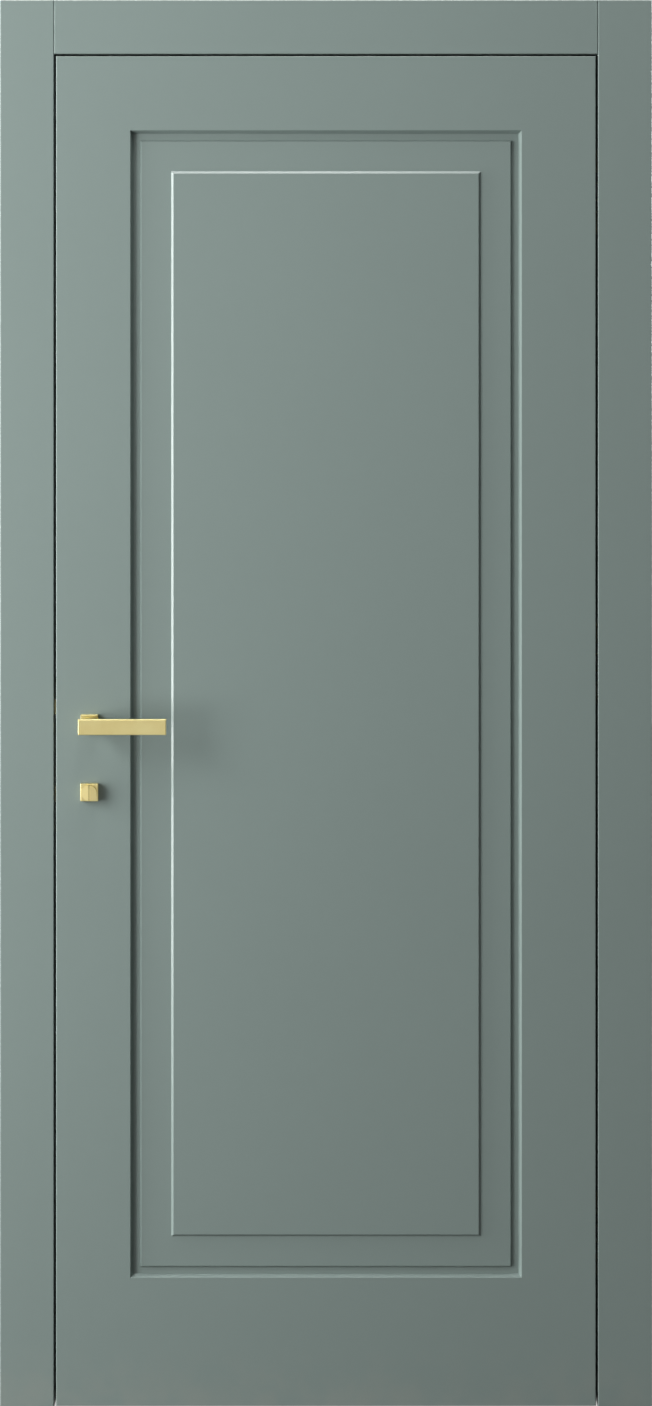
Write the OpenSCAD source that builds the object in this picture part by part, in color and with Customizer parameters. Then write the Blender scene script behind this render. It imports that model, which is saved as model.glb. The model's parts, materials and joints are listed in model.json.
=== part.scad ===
// Interior door in its frame: a painted leaf with a stepped panel, casings in the plane of the leaf,
// concealed hinges, a lever latch and a privacy bolt. The camera side is -Y, the floor is Z = 0.

/* [Leaf] */
// Width of the leaf
leaf_w = 800; // [600:10:900]
// Height of the leaf
leaf_h = 2000; // [1900:10:2200]
// Thickness of the leaf
leaf_t = 44; // [43:0.5:50]
// Radius of the eased edges of leaf and casings
edge_r = 1.5; // [0.8:0.1:2.5]
// Gap between leaf and frame at the sides and at the top
side_gap = 3; // [2.5:0.1:4]
// Gap between leaf and floor
floor_gap = 3; // [3:0.5:8]

/* [Panel] */
// Distance from the leaf's side edges to the panel recess
stile_w = 110; // [105:1:150]
// Distance from the leaf's top edge to the panel recess
top_rail = 110; // [100:1:150]
// Distance from the leaf's bottom edge to the panel recess
bottom_rail = 190; // [150:1:250]
// Depth of the groove round the panel
groove_d = 8; // [6:0.5:10]
// Width of the groove's sloping outer wall
groove_slope = 4.5; // [2:0.5:6]
// Distance from the recess edge to the foot of the flat ring
groove_w = 14.5; // [12:0.5:20]
// Rise of the ring above the groove
ring_rise = 4; // [2:0.5:5]
// Width of the ring's chamfer
ring_chamfer = 2; // [1:0.5:4]
// Distance from the recess edge to the foot of the raised field
field_in = 60.5; // [45:0.5:80]
// Rise of the field above the ring
field_rise = 3; // [1:0.5:3.5]
// Width of the field's chamfer
field_chamfer = 3.5; // [2:0.5:6]

/* [Frame] */
// Width of the casings
casing_w = 80; // [65:1:100]
// Thickness of the casings
casing_t = 8; // [6:0.5:8]
// Thickness of the jambs in the rebate
jamb_t = 40; // [39:0.5:50]
// Depth of the jambs between the casings, the thickness of the wall
wall_t = 100; // [90:1:150]
// Overlap of the stop behind the leaf
stop_lap = 12; // [10:0.5:20]
// Space for the seal between leaf and stop
seal_gap = 4; // [3:0.5:6]
// Distance from the leaf's edge to the seal's centre line
seal_in = 5.5; // [4.5:0.5:6]
// Wall of the hollow seal
seal_wall = 0.8; // [0.5:0.1:1.2]
// Width of the seal's root
root_w = 3; // [2:0.5:4]
// Length of the seal's root
root_l = 5.5; // [3:0.5:8]
// Clearance round the seal's root
root_fit = 0.1; // [0.05:0.05:0.3]
// Clearance between seal and leaf
seal_clear = 0.3; // [0.2:0.1:0.5]
// Width of the jamb's edge that shows beside the back casings
back_reveal = 4; // [2:0.5:8]
// Thickness of the back casing's tongue
tongue_t = 6; // [4:0.5:8]
// Length of the back casing's tongue
tongue_l = 20; // [10:1:30]
// Distance from the rebate face to the tongue
tongue_in = 15; // [10:0.5:25]
// Clearance round the tongue
tongue_fit = 0.2; // [0.1:0.05:0.5]
// Chamfer of the stop's edges
stop_chamfer = 1.5; // [0.5:0.5:3]

/* [Wall fixing] */
// Bore of the frame's fixing holes
anchor_d = 8; // [6:0.5:10]
// Bore for the heads of the fixings
anchor_head_d = 15; // [12:0.5:18]
// Depth of the bore for the heads
anchor_head_l = 8; // [5:0.5:12]
// Distance of the fixing holes from the leaf's front face
anchor_y = 26; // [22:0.5:30]
// Height of the lower fixing holes
anchor_z = 560; // [450:10:700]
// Spacing of the fixing holes
anchor_pitch = 1000; // [900:10:1050]

/* [Screws] */
// Shank of the wood screws
wood_d = 4; // [3:0.5:5]
// Head of the wood screws
wood_head = 7.5; // [6.5:0.5:9]
// Length of the wood screws
wood_l = 26; // [20:1:30]
// Shank of the frame's corner screws
corner_d = 5; // [4:0.5:6]
// Head of the frame's corner screws
corner_head = 9; // [8:0.5:11]
// Length of the frame's corner screws
corner_l = 80; // [60:1:100]
// Shank of the small screws
small_d = 2.5; // [2:0.5:3]
// Head of the small screws
small_head = 4.5; // [4:0.5:5]
// Length of the rose screws
rose_screw_l = 13; // [10:0.5:14]
// Length of the lock cover's screws
cover_screw_l = 8; // [6:0.5:10]
// Clearance round the screws
screw_fit = 0.05; // [0.02:0.01:0.1]
// Width of the cross in the screw heads
cross_w = 0.8; // [0.5:0.1:1.2]

/* [Hinges] */
// Height of the lowest hinge above the leaf's bottom edge
hinge_low = 250; // [200:10:350]
// Height of the middle hinge above the leaf's bottom edge
hinge_mid = 1100; // [950:10:1250]
// Distance of the top hinge from the leaf's top edge
hinge_high = 200; // [150:10:300]
// Distance from the leaf's front face to the hinge body
hinge_set = 9; // [8.5:0.1:9.5]
// Width of the hinge body
hinge_w = 29; // [28:0.5:32]
// Wall of the hinge body
hinge_wall = 1.5; // [1:0.1:2]
// Depth of the hinge body
hinge_d = 36; // [35:0.5:38]
// Height of the hinge body
hinge_h = 88; // [88:1:100]
// Thickness of the hinge plate
plate_t = 3; // [2:0.5:4]
// Height of the hinge plate
plate_h = 128; // [125:1:140]
// Distance of the hinge screws from the ends of the plate
plate_screw = 9; // [7:0.5:10]
// Clearance round the hinge in its mortise
hinge_fit = 0.1; // [0.05:0.05:0.3]
// Thickness of the hinge arms
arm_t = 5; // [4:0.5:5.5]
// Radius of the arms round the pin
arm_boss = 4.5; // [3.5:0.1:5]
// Radius of the arms' sliding ends
arm_end = 3.5; // [3:0.1:4]
// Distance of the pin from the swing axis across the gap
pivot_out = 4; // [3.5:0.1:4.5]
// Distance of the pin from the body's front wall
pivot_in = 8.5; // [8:0.1:9]
// Length of the arms across the gap
arm_reach = 34.5; // [33:0.1:35]
// Length of the arms into the depth
arm_rise = 11.5; // [10.5:0.1:12]
// Height of each frame arm
frame_arm_h = 14.5; // [12:0.5:15]
// Height of each leaf arm
leaf_arm_h = 22; // [18:0.5:22]
// Thickness of the webs between the arms
web_t = 2; // [1.5:0.1:2.2]
// Clearance above and below the arms
arm_clear = 0.3; // [0.2:0.05:0.4]
// Diameter of the hinge pins
pin_d = 4; // [3:0.5:5]
// Clearance round the hinge pins
pin_fit = 0.05; // [0.02:0.01:0.1]
// Length of the frame pins in the hinge body's end
pin_seat = 6; // [4:0.5:8]

/* [Lock] */
// Distance from the leaf's edge to the lever's axis
backset = 50; // [45:1:60]
// Height of the lever's axis above the floor
lever_z = 1015; // [950:5:1050]
// Distance from the lever's axis down to the turn's axis
turn_pitch = 102; // [85:1:110]
// Thickness of the lock case
case_t = 15; // [14:0.5:18]
// Wall of the lock case
case_wall = 1.5; // [1:0.1:2]
// Distance from the lever's axis to the back of the lock case
case_back = 26; // [25:0.5:32]
// Distance from the lever's axis to the top of the lock case
case_top = 47; // [45:0.5:55]
// Distance from the turn's axis to the bottom of the lock case
case_foot = 47; // [35:0.5:55]
// Clearance round the lock case in its mortise
case_fit = 0.3; // [0.1:0.05:0.6]
// Width of the forend and of the strike plate
forend_w = 20; // [18:0.5:24]
// Thickness of the forend and of the strike plate
forend_t = 2.5; // [2:0.1:3]
// Length of the forend and of the strike plate past the lock case
forend_past = 17; // [14:0.5:20]
// Clearance round the forend and the strike plate
forend_fit = 0.1; // [0.05:0.05:0.3]
// Distance of the forend screws from its ends
forend_screw = 8; // [6:0.5:9]
// Post for the lock cover's screws
post_d = 6; // [5:0.5:7]
// Distance of the posts from the case's edges
post_in = 6; // [4.5:0.5:7]
// Depth of the strike box
box_d = 16; // [15:0.5:20]
// Wall of the strike box
box_wall = 1.2; // [0.8:0.1:2]
// Space between the strike's holes and the box ends
box_past = 4; // [2:0.5:8]
// Clearance of latch and bolt in the strike
strike_play = 0.8; // [0.5:0.1:1.5]

/* [Latch] */
// Height of the latch above the lever's axis
latch_rise = 22; // [21:0.5:24]
// Height of the latch head
latch_h = 22; // [18:0.5:24]
// Projection of the latch
latch_out = 10; // [8:0.5:10]
// Length of the latch head inside the lock
latch_in = 20; // [16:0.5:22]
// Flat on the tip of the latch
latch_flat = 2.5; // [1.5:0.5:4]
// Clearance of latch and bolt in the lock
slide_fit = 0.3; // [0.2:0.05:0.4]
// Thickness of the tails of latch and bolt
tail_t = 4; // [3:0.5:4.5]
// Height of the latch tail
tail_h = 6.5; // [5:0.5:7]
// Length of the hook on the latch tail
hook_l = 6.5; // [4:0.5:8]
// Radius of the latch follower
follower_r = 9; // [8.5:0.1:10]
// Radius of the follower's bearings
follower_bearing = 8; // [7:0.1:8.4]
// Clearance of the followers' bearings
bearing_fit = 0.05; // [0.02:0.01:0.1]
// Reach of the follower's upper finger
finger_r = 19; // [17:0.5:20]
// Reach of the follower's lower finger
heel_r = 17; // [15:0.5:19]
// Width of the follower's fingers
finger_w = 6; // [4:0.5:7]
// Play between finger and hook
finger_play = 0.5; // [0.4:0.05:0.8]
// Space between finger and tail
tail_clear = 1.5; // [1:0.1:2]
// Thickness of the spring lug
lug_t = 2; // [1.5:0.1:3]
// Distance from the lever's axis to the spring lug
lug_in = 8; // [5:0.5:9]
// Wire of the springs
wire_d = 0.9; // [0.6:0.1:1]
// Coil radius of the latch spring, to the middle of the wire
latch_coil = 4.8; // [4.6:0.1:5]
// Coil radius of the follower spring, to the middle of the wire
follower_coil = 3.5; // [2.5:0.1:4]
// Clearance at the ends of the springs
spring_clear = 0.3; // [0.2:0.05:0.4]

/* [Privacy bolt] */
// Height of the bolt
bolt_h = 22; // [18:0.5:24]
// Length of the bolt's head
bolt_l = 24; // [18:0.5:25]
// Set-back of the bolt behind the forend's face
bolt_set = 0.3; // [0.1:0.1:0.5]
// Radius of the bolt follower
crank_hub = 6.5; // [6:0.1:6.8]
// Radius of the crank pin's path
crank_r = 10; // [10:0.1:11]
// Diameter of the crank pin
crank_pin = 4; // [3:0.1:4]
// Play between the crank pin and the bolt's slot
crank_play = 0.45; // [0.4:0.05:0.6]
// Rim of the crank disc past its pin
crank_rim = 1; // [0.5:0.1:2]
// Material beside and below the bolt's slot
slot_rim = 4; // [3:0.5:5]

/* [Furniture] */
// Length of the lever
lever_l = 129; // [110:1:140]
// Height of the lever
lever_h = 23; // [18:0.5:25]
// Thickness of the lever
lever_t = 11; // [8:0.5:14]
// Radius of the lever's eased edges
lever_r = 1.2; // [0.5:0.1:2]
// Distance from the leaf to the lever's front
lever_reach = 58; // [50:0.5:62]
// Side of the square roses
rose_w = 26; // [25:0.5:30]
// Thickness of the roses
rose_t = 9; // [8:0.5:12]
// Radius of the roses' eased edges
rose_r = 1; // [0.5:0.1:1.5]
// Wall of the rose covers
rose_wall = 0.8; // [0.6:0.1:1]
// Thickness of the rose bases
base_t = 5; // [3:0.5:6]
// Clearance between rose cover and base
base_fit = 0.05; // [0.02:0.01:0.2]
// Distance of the rose screws from the axis, each way
rose_screw = 9.3; // [9:0.1:9.6]
// Diameter of the necks of levers and turns
neck_d = 15; // [14:0.1:15.5]
// Clearance round the necks
neck_fit = 0.08; // [0.03:0.01:0.1]
// Clearance between the necks and the leaf
neck_clear = 0.5; // [0.3:0.1:1]
// Side of the lever's square spindle
spindle_w = 8; // [7:0.5:8]
// Clearance round the spindles
spindle_fit = 0.1; // [0.05:0.05:0.2]
// Depth of the spindle in each lever
spindle_in = 37; // [25:0.5:40]
// Side of the turn's square spindle
turn_w = 6; // [5:0.5:6]
// Depth of the turn's spindle past the leaf
turn_in = 10; // [7:0.5:11]
// Diameter of the levers' grub screws
grub_d = 4; // [3:0.5:5]
// Distance of the grub screws from the leaf
grub_y = 14; // [12:0.5:20]
// Socket of the grub screws
grub_key = 2; // [1.5:0.5:2]
// Diameter of the thumb turn
knob_d = 22.5; // [20:0.5:25]
// Thickness of the thumb turn
knob_t = 7; // [5:0.5:9]
// Fall of the thumb turn's sloping half
knob_fall = 4; // [2:0.5:5]
// Width of the line across the thumb turn
knob_line = 1.2; // [0.6:0.1:2]
// Diameter of the emergency release
release_d = 18; // [16:0.5:22]
// Thickness of the emergency release
release_t = 3.5; // [3:0.5:6]
// Width of the emergency release's slot
release_slot = 2; // [1.5:0.1:3]
// Depth of the emergency release's slot
slot_d = 1.5; // [1:0.1:2]
// Bore through the leaf for the spindles
leaf_bore = 18; // [17.5:0.5:19]

/* [Hidden] */
$fn = 48;
paint = "#7b8783";
brass = "#c9ab66";
steel = "#8f9296";
black = "#2a2b2c";
white = "#d6d4cc";

// Edges of leaf, rebate and casings
leaf_x = leaf_w / 2;
leaf_z0 = floor_gap;
leaf_z1 = leaf_z0 + leaf_h;
rebate_x = leaf_x + side_gap;
rebate_z = leaf_z1 + side_gap;
casing_x = rebate_x + casing_w;
casing_z = rebate_z + casing_w;
jamb_x = rebate_x + jamb_t;
jamb_z = rebate_z + jamb_t;
stop_x = leaf_x - stop_lap;
stop_z = leaf_z1 - stop_lap;
stop_y = leaf_t + seal_gap;
jamb_y = casing_t + wall_t;
frame_y = jamb_y + casing_t;
// The part stands with the middle of its depth on Y = 0
shift_y = (lever_reach - max(frame_y, leaf_t + lever_reach)) / 2;
// Seal
seal_r = seal_gap - seal_clear;
seal_x = leaf_x - seal_in;
seal_z = leaf_z1 - seal_in;
// Back casings
back_x = stop_x + back_reveal;
back_z = stop_z + back_reveal;
tongue_x = rebate_x + tongue_in;
tongue_z = rebate_z + tongue_in;
// Hinges
axis_x = leaf_x + side_gap / 2;
hinge_y = hinge_set + hinge_w / 2;
hinge_zs = [leaf_z0 + hinge_low, leaf_z0 + hinge_mid, leaf_z1 - hinge_high];
pivot_y = hinge_set + hinge_wall + pivot_in;
arm_l = norm([arm_reach, arm_rise]);
arm_angle = atan2(arm_rise, arm_reach);
mid_room = leaf_arm_h + 2 * arm_clear;
side_room = frame_arm_h + 2 * arm_clear;
side_room_z = mid_room / 2 + web_t;
side_arm_z = side_room_z + arm_clear;
plate_screw_z = plate_h / 2 - plate_screw;
// Lock
lock_y = leaf_t / 2;
lock_x = -leaf_x + backset;
turn_z = lever_z - turn_pitch;
case_x0 = -leaf_x + forend_t;
case_x1 = lock_x + case_back;
case_z0 = turn_z - case_foot;
case_z1 = lever_z + case_top;
case_y0 = lock_y - case_t / 2;
case_y1 = lock_y + case_t / 2;
room_y0 = case_y0 + case_wall;
room_y1 = case_y1 - case_wall;
slide_y0 = room_y0 + slide_fit;
slide_y1 = room_y1 - slide_fit;
forend_z0 = case_z0 - forend_past;
forend_z1 = case_z1 + forend_past;
forend_screws_z = [forend_z0 + forend_screw, forend_z1 - forend_screw];
posts = [for (x = [case_x0 + post_in, case_x1 - post_in], z = [case_z0 + post_in, case_z1 - post_in]) [x, z]];
// Latch
latch_z = lever_z + latch_rise;
tail_z = lever_z + finger_r + tail_clear;
tail_y = lock_y;
hook_x = lock_x + finger_w / 2 + finger_play;
hook_z = lever_z + finger_r - finger_w;
lug_x = lock_x - lug_in - lug_t;
latch_rear = -leaf_x + latch_in;
heel_z = lever_z - (heel_r + follower_r) / 2;
// Privacy bolt
bolt_x = -leaf_x + bolt_set;
pin_place = crank_r * cos(45);
bolt_z1 = turn_z - crank_hub - slide_fit;
slot_x = lock_x + pin_place;
slot_w = crank_pin + 2 * crank_play;
slot_z = turn_z - crank_r - crank_pin / 2 - crank_play;
bolt_z0 = slot_z - slot_rim;
tail_y1 = slide_y0 + tail_t + slide_fit;
strike_rooms = [[bolt_z0, bolt_z0 + bolt_h], [latch_z - latch_h / 2, latch_z + latch_h / 2]];
box_z0 = bolt_z0 - strike_play - box_past;
box_z1 = latch_z + latch_h / 2 + strike_play + box_past;

// A rectangle with rounded corners at its front, and at its back where asked
module soft_profile(w, t, r, back) {
    rows = back ? 2 : 1;
    translate([-w / 2 + r, 0])
        square([w - 2 * r, t]);
    translate([-w / 2, r])
        square([w, t - rows * r]);
    for (s = [-1, 1])
        translate([s * (w / 2 - r), r])
            circle(r = r);
    if (back)
        for (s = [-1, 1])
            translate([s * (w / 2 - r), t - r])
                circle(r = r);
}

// A board with eased edges round its front face; the foot is the part whose lower end stays square
module soft_block(w, t, h, r, back, foot) {
    intersection() {
        linear_extrude(height = h)
            soft_profile(w, t, r, back);
        translate([0, 0, (h - foot) / 2])
            rotate([0, -90, 0])
                linear_extrude(height = w + 2, center = true)
                    soft_profile(h + foot, t, r, back);
    }
}

// A plate with half-round ends, standing on Z, with its face at X = 0 and its thickness along +X
module round_plate(w, h, t) {
    translate([0, -w / 2, -(h - w) / 2])
        cube([t, w, h - w]);
    for (s = [-1, 1])
        translate([0, 0, s * (h - w) / 2])
            rotate([0, 90, 0])
                cylinder(d = w, h = t);
}

// A countersunk screw with its head at Z = 0
module screw(d, head, l) {
    sink = (head - d) / 2;
    difference() {
        union() {
            translate([0, 0, -sink])
                cylinder(d1 = d, d2 = head, h = sink);
            translate([0, 0, -l])
                cylinder(d = d, h = l - sink);
        }
        for (a = [0, 90])
            rotate([0, 0, a])
                translate([-head / 4, -cross_w / 2, -sink])
                    cube([head / 2, cross_w, sink + 1]);
    }
}

// The hole for such a screw
module screw_hole(d, head, l) {
    sink = (head - d) / 2;
    translate([0, 0, -sink])
        cylinder(d1 = d + 2 * screw_fit, d2 = head + 2 * screw_fit, h = sink);
    translate([0, 0, -l - screw_fit])
        cylinder(d = d + 2 * screw_fit, h = l);
    cylinder(d = head + 2 * screw_fit, h = 1);
}

// A wire coil along +Z
module coil(r, wire, l, turns) {
    sides = 6;
    steps = turns * 14;
    rings = [for (i = [0 : steps]) let (a = 360 * turns * i / steps)
        for (k = [0 : sides - 1]) let (b = 360 * k / sides, q = r + wire / 2 * cos(b))
            [q * cos(a), q * sin(a), wire / 2 + (l - wire) * i / steps + wire / 2 * sin(b)]];
    skin = [for (i = [0 : steps - 1], k = [0 : sides - 1]) let (n = (k + 1) % sides)
        [i * sides + k, i * sides + n, (i + 1) * sides + n, (i + 1) * sides + k]];
    first = [for (k = [0 : sides - 1]) sides - 1 - k];
    last = [for (k = [0 : sides - 1]) steps * sides + k];
    polyhedron(points = rings, faces = concat(skin, [first, last]), convexity = 10);
}

// A frustum over the panel's outline from the depth y0 back to y1, drawn in by in0 and in1 there
module panel_step(y0, y1, in0, in1) {
    corners = [for (e = [[y0, in0], [y1, in1]])
        for (c = [[-1, 0], [1, 0], [1, 1], [-1, 1]])
            [c[0] * (leaf_x - stile_w - e[1]), e[0],
             c[1] == 0 ? leaf_z0 + bottom_rail + e[1] : leaf_z1 - top_rail - e[1]]];
    sides = [[0, 1, 5, 4], [1, 2, 6, 5], [2, 3, 7, 6], [3, 0, 4, 7], [3, 2, 1, 0], [4, 5, 6, 7]];
    polyhedron(points = corners, faces = sides);
}

// What is milled away round the panel on the front face
module panel_recess() {
    over = 1;
    ring_y = groove_d - ring_rise;
    difference() {
        panel_step(-over, groove_d, -over * groove_slope / groove_d, groove_slope);
        panel_step(ring_y, groove_d + over, groove_w + ring_chamfer, groove_w - over * ring_chamfer / ring_rise);
        panel_step(ring_y - field_rise, ring_y + over, field_in + field_chamfer,
            field_in - over * field_chamfer / field_rise);
    }
}

// Drawn as on the leaf's front face, this puts it on the back face
module on_back() {
    translate([0, leaf_t, 0])
        mirror([0, 1, 0])
            children();
}

// Drawn as on the hinge side, this puts it on the lock side
module on_lock_side() {
    mirror([1, 0, 0])
        children();
}

// The door's own coordinates have the leaf's front face at Y = 0
module placed(c) {
    color(c)
        translate([0, shift_y, 0])
            children();
}

// A round solid along +Y
module along_y(d, y0, y1) {
    translate([0, y1, 0])
        rotate([90, 0, 0])
            cylinder(d = d, h = y1 - y0);
}

// A square bar along +Y
module square_y(w, y0, y1) {
    translate([-w / 2, y0, -w / 2])
        cube([w, y1 - y0, w]);
}

// Section of the jambs on the hinge side
module jamb_section() {
    c = stop_chamfer;
    polygon([
        [rebate_x, casing_t], [jamb_x, casing_t], [jamb_x, jamb_y], [stop_x + c, jamb_y],
        [stop_x, jamb_y - c], [stop_x, stop_y + c], [stop_x + c, stop_y], [rebate_x, stop_y]
    ]);
}

// Groove for the seal's root, from the stop's face into the jamb
module root_groove() {
    translate([-root_w / 2 - root_fit, 0])
        square([root_w + 2 * root_fit, root_l + 2 * root_fit]);
}

// Groove for a back casing's tongue
module tongue_groove() {
    translate([-tongue_t / 2 - tongue_fit, -tongue_l - 2 * tongue_fit])
        square([tongue_t + 2 * tongue_fit, tongue_l + 2 * tongue_fit + 1]);
}

// A side jamb with its grooves, fixing holes and corner screw holes
module side_jamb() {
    difference() {
        linear_extrude(height = jamb_z)
            jamb_section();
        translate([seal_x, stop_y, -1])
            linear_extrude(height = seal_z + seal_r + root_fit + 1)
                root_groove();
        translate([tongue_x, jamb_y, -1])
            linear_extrude(height = jamb_z + 2)
                tongue_groove();
        for (z = [anchor_z, anchor_z + anchor_pitch])
            translate([rebate_x, anchor_y, z])
                rotate([0, 90, 0]) {
                    translate([0, 0, -1])
                        cylinder(d = anchor_d, h = jamb_t + 2);
                    translate([0, 0, -1])
                        cylinder(d = anchor_head_d, h = anchor_head_l + 1);
                }
        corner_places()
            screw_hole(corner_d, corner_head, corner_l);
    }
}

// Places of the corner screws on the hinge side
module corner_places() {
    for (y = [(casing_t + stop_y) / 2, (stop_y + jamb_y - tongue_l) / 2])
        translate([jamb_x, y, rebate_z + jamb_t / 2])
            rotate([0, 90, 0])
                children();
}

// Places of the hinge screws along the plates, in a hinge's own coordinates
module hinge_screw_places() {
    for (s = [-1, 1])
        translate([0, 0, s * plate_screw_z])
            rotate([0, -90, 0])
                children();
}

// Outline of a hinge body and its plate, with a clearance for the mortise, face at X = 0
module hinge_blank(fit) {
    round_plate(hinge_w + 2 * fit, plate_h + 2 * fit, plate_t + fit);
    round_plate(hinge_w + 2 * fit, hinge_h + 2 * fit, hinge_d + fit);
}

// The hinge's mortise with its screw holes, open towards -X
module hinge_mortise() {
    hinge_blank(hinge_fit);
    translate([-1, 0, 0])
        round_plate(hinge_w + 2 * hinge_fit, plate_h + 2 * hinge_fit, 2);
    hinge_screw_places()
        screw_hole(wood_d, wood_head, wood_l);
}

// Places of the three hinges on the jamb's rebate face
module frame_hinge_places() {
    for (z = hinge_zs)
        translate([rebate_x, hinge_y, z])
            children();
}

// Places of the three hinges on the leaf's edge
module leaf_hinge_places() {
    translate([2 * axis_x, 0, 0])
        mirror([1, 0, 0])
            frame_hinge_places()
                children();
}

// A hinge body with three rooms for the arms
module hinge_body(pin_z0, pin_z1, pins) {
    room_w = hinge_w - 2 * hinge_wall;
    difference() {
        hinge_blank(0);
        translate([-1, -room_w / 2, -mid_room / 2])
            cube([hinge_d - hinge_wall + 1, room_w, mid_room]);
        for (s = [-1, 1])
            translate([-1, -room_w / 2, s * (side_room_z + side_room / 2) - side_room / 2])
                cube([hinge_d - hinge_wall + 1, room_w, side_room]);
        for (s = pins)
            translate([pivot_out - side_gap / 2, pivot_y - hinge_y, s < 0 ? -pin_z1 : pin_z0])
                cylinder(d = pin_d + 2 * pin_fit, h = pin_z1 - pin_z0);
        hinge_screw_places()
            screw_hole(wood_d, wood_head, wood_l);
    }
}

// The frame's hinge body holds two short pins, the leaf's holds one in the middle
frame_pin_z0 = mid_room / 2;
frame_pin_z1 = side_room_z + side_room + pin_seat;
leaf_pin_z1 = side_room_z;

module frame_hinge(k) {
    translate([rebate_x, hinge_y, hinge_zs[k]])
        hinge_body(frame_pin_z0, frame_pin_z1, [-1, 1]);
}

module leaf_hinge(k) {
    translate([2 * axis_x, 0, 0])
        mirror([1, 0, 0])
            translate([rebate_x, hinge_y, hinge_zs[k]])
                hinge_body(-leaf_pin_z1, leaf_pin_z1, [1]);
}

// One arm from its pin, with its far end towards the other body, standing on Z = 0
module hinge_arm(h) {
    linear_extrude(height = h)
        difference() {
            union() {
                circle(r = arm_boss);
                rotate([0, 0, 180 - arm_angle])
                    translate([0, -arm_t / 2])
                        square([arm_l, arm_t]);
                translate([-arm_reach, arm_rise])
                    circle(r = arm_end);
            }
            circle(d = pin_d + 2 * pin_fit);
        }
}

// A rose's base, drawn on the front face round the axis
module rose_base() {
    inner = rose_w - 2 * rose_wall - 2 * base_fit;
    difference() {
        translate([-inner / 2, -base_t, -inner / 2])
            cube([inner, base_t, inner]);
        along_y(neck_d + 2 * neck_fit, -base_t - 1, 1);
        rose_screw_places()
            screw_hole(small_d, small_head, rose_screw_l);
    }
}

// Places of a rose's two screws
module rose_screw_places() {
    for (s = [-1, 1])
        translate([s * rose_screw, -base_t, s * rose_screw])
            rotate([90, 0, 0])
                children();
}

// A rose's cover
module rose_cover() {
    inner = rose_w - 2 * rose_wall;
    difference() {
        translate([0, -rose_t, -rose_w / 2])
            soft_block(rose_w, rose_t, rose_w, rose_r, false, 0);
        translate([-inner / 2, -base_t, -inner / 2])
            cube([inner, base_t + 1, inner]);
        along_y(neck_d + 2 * neck_fit, -rose_t - 1, 1);
    }
}

// A lever, drawn on the front face round its axis
module lever() {
    difference() {
        union() {
            translate([lever_l / 2 - rose_w / 2, -lever_reach, -lever_h / 2])
                soft_block(lever_l, lever_t, lever_h, lever_r, true, 0);
            along_y(neck_d, -lever_reach + lever_t - 1, -neck_clear);
        }
        square_y(spindle_w + 2 * spindle_fit, -spindle_in - spindle_fit, 0);
        translate([0, -grub_y, -neck_d])
            cylinder(d = grub_d + 2 * screw_fit, h = neck_d);
    }
}

// The grub screw in a lever's neck
module grub() {
    top = -spindle_w / 2;
    difference() {
        translate([0, -grub_y, -neck_d / 2 + 0.5])
            cylinder(d = grub_d, h = neck_d / 2 - 0.5 + top);
        translate([0, -grub_y, -neck_d / 2])
            cylinder(d = grub_key, h = 2, $fn = 6);
    }
}

module at_lever() {
    translate([lock_x, 0, lever_z])
        children();
}

module at_turn() {
    translate([lock_x, 0, turn_z])
        children();
}

// Section of a seal, with the stop's face at Y = 0
module seal_section() {
    hollow = seal_r - 2 * seal_wall;
    difference() {
        union() {
            intersection() {
                circle(r = seal_r);
                translate([-seal_r, -seal_r])
                    square([2 * seal_r, seal_r]);
            }
            translate([-root_w / 2, -seal_wall])
                square([root_w, root_l + seal_wall]);
        }
        translate([0, -seal_wall])
            intersection() {
                circle(r = hollow);
                translate([-hollow, -hollow])
                    square([2 * hollow, hollow]);
            }
    }
}

// A vertical casing, drawn on the hinge side at the front
module front_casing() {
    translate([rebate_x + casing_w / 2, 0, 0])
        soft_block(casing_w, casing_t, casing_z, edge_r, false, 2 * edge_r);
}

// A vertical casing at the back, with its tongue
module back_casing() {
    translate([back_x + casing_w / 2, frame_y, 0])
        mirror([0, 1, 0])
            soft_block(casing_w, casing_t, back_z + casing_w, edge_r, false, 2 * edge_r);
    translate([tongue_x - tongue_t / 2, jamb_y - tongue_l, 0])
        cube([tongue_t, tongue_l + casing_t / 2, tongue_z - tongue_t / 2 - tongue_fit]);
}

module lock_jamb() {
    placed(paint)
        difference() {
            on_lock_side()
                side_jamb();
            strike_recess();
        }
}

// The cut in the lock jamb for strike plate, box and screws
module strike_recess() {
    translate([-rebate_x, lock_y, (forend_z0 + forend_z1) / 2])
        mirror([1, 0, 0]) {
            round_plate(forend_w + 2 * forend_fit, forend_z1 - forend_z0 + 2 * forend_fit, forend_t);
            translate([-1, 0, 0])
                round_plate(forend_w + 2 * forend_fit, forend_z1 - forend_z0 + 2 * forend_fit, 2);
        }
    translate([-rebate_x - forend_t - box_d - case_fit, case_y0 - case_fit, box_z0 - case_fit])
        cube([box_d + 2 * case_fit, case_t + 2 * case_fit, box_z1 - box_z0 + 2 * case_fit]);
    strike_screw_places()
        screw_hole(wood_d, wood_head, wood_l);
}

module strike_screw_places() {
    for (z = forend_screws_z)
        translate([-rebate_x, lock_y, z])
            rotate([0, 90, 0])
                children();
}

module hinge_jamb() {
    placed(paint)
        difference() {
            side_jamb();
            frame_hinge_places()
                hinge_mortise();
        }
}

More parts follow.
